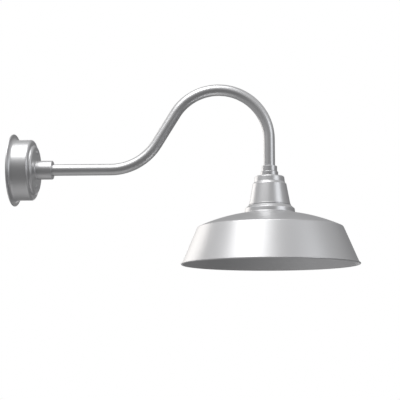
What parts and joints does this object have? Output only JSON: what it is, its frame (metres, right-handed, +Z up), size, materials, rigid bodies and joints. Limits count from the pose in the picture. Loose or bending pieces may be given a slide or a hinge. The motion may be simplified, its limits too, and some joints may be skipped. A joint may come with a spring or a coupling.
{
  "type": "gooseneck wall sconce",
  "caption": "Gooseneck wall light: round canopy, bent tube arm, cast neck and a wide spun metal shade over a screw-in lamp.",
  "frame": {"origin": "on the wall plane, at the centre of the canopy's back, on the arm's level axis", "axes": "+X out of the wall along the arm's level run, +Z up, the arm bends in the XZ plane"},
  "size_m": [0.6978, 0.3556, 0.3692],
  "materials": {
    "satin_silver": "satin",
    "satin_silver_screws": "satin",
    "foam": "matte",
    "zinc_steel": "satin",
    "green_screw": "satin",
    "tinned_copper": "satin",
    "green_insulation": "satin",
    "black_steel": "satin",
    "nylon": "satin",
    "black_insulation": "satin",
    "white_insulation": "satin",
    "connector_plastic": "satin",
    "gasket_rubber": "matte",
    "steel_screws": "satin",
    "porcelain": "gloss",
    "nickel_brass": "polished",
    "brass": "satin",
    "black_glass": "gloss",
    "nickel_cap": "satin",
    "white_plastic": "satin",
    "board_white": "matte",
    "led_yellow": "satin",
    "opal_diffuser": "satin"
  },
  "bodies": {
    "fixture": {"wall_gasket": "foam", "mounting_strap": "zinc_steel", "canopy_shell": "satin_silver", "canopy_screws": "satin_silver_screws", "earth_screw": "green_screw", "earth_ring_terminal": "tinned_copper", "earth_lead": "green_insulation", "canopy_hub": "satin_silver", "hub_grub_screw": "black_steel", "hub_lock_nut": "zinc_steel", "lead_bushing": "nylon", "gooseneck_arm": "satin_silver", "live_lead": "black_insulation", "neutral_lead": "white_insulation", "wire_connectors": "connector_plastic", "neck_coupling": "satin_silver", "coupling_grub_screw": "black_steel", "coupling_lock_nut": "zinc_steel", "coupling_washer": "gasket_rubber", "neck_casting": "satin_silver", "fitter_band": "satin_silver", "shade_gasket": "gasket_rubber", "shade": "satin_silver", "shade_screws": "steel_screws", "lampholder_bracket": "zinc_steel", "bracket_screws": "steel_screws", "lampholder_screws": "steel_screws", "lampholder_body": "porcelain", "screw_shell": "nickel_brass", "centre_contact": "brass"},
    "lamp": {"lamp_contact": "brass", "lamp_cap_insulator": "black_glass", "lamp_cap": "nickel_cap", "lamp_housing": "white_plastic", "lamp_led_board": "board_white", "lamp_leds": "led_yellow", "lamp_globe": "opal_diffuser"}
  },
  "joints": [
    {"name": "lamp_draw", "type": "slide", "parent": "fixture", "child": "lamp", "axis": [0, 0, -1], "range_m": [0, 0.16]}
  ]
}
